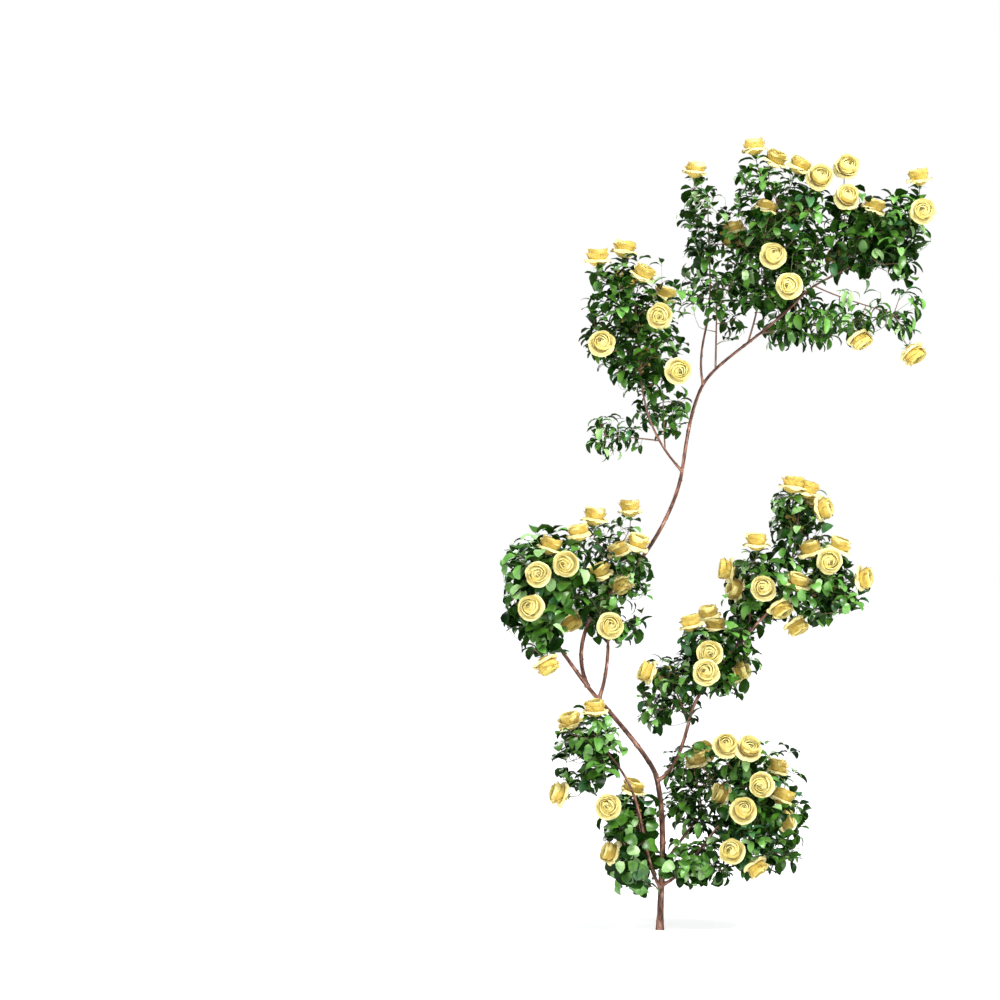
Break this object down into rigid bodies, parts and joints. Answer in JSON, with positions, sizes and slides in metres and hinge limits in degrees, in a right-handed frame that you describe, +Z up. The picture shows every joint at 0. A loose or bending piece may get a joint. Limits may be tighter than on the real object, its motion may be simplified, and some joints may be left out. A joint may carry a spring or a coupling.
{
  "type": "climbing rose",
  "caption": "Rooted climbing rose: a slender woody stem that forks into arching canes, with open masses of glossy leaves and double yellow blooms.",
  "frame": {"origin": "middle of the flat cut under the stem, at ground level", "axes": "+Z up; the side shown in the picture faces -Y, with +X to the picture's right"},
  "size_m": [1.4565, 0.5248, 2.6437],
  "materials": {
    "bark": "rough",
    "foliage": "semi-gloss leaves, matte petals"
  },
  "bodies": {
    "root": {"trunk": "bark", "bough_leader": "bark", "bough_right": "bark", "bough_far_right": "bark", "bough_far_top": "bark", "arm_left": "bark", "arm_right": "bark", "cane_lower": "bark", "cane_middle": "bark", "cane_upper": "bark", "bough_column": "bark", "bough_top_left": "bark", "bough_top_right": "bark", "bough_outer": "bark", "bough_low_left": "bark", "bough_low_right": "bark", "bough_low_far_right": "bark", "foliage_crown_left": "foliage", "foliage_crown_fan": "foliage", "foliage_crown_centre": "foliage", "foliage_crown_right": "foliage", "foliage_crown_under": "foliage", "foliage_crown_low": "foliage", "foliage_column": "foliage", "foliage_column_foot": "foliage", "foliage_column_low": "foliage", "foliage_middle_left": "foliage", "foliage_middle_right": "foliage", "foliage_right_low": "foliage", "foliage_right_mid": "foliage", "foliage_far_low": "foliage", "foliage_far_mid": "foliage", "foliage_far_top": "foliage", "foliage_low_left_top": "foliage", "foliage_low_left": "foliage", "foliage_low_right": "foliage", "foliage_low_far_right": "foliage", "foliage_foot": "foliage"}
  },
  "joints": []
}
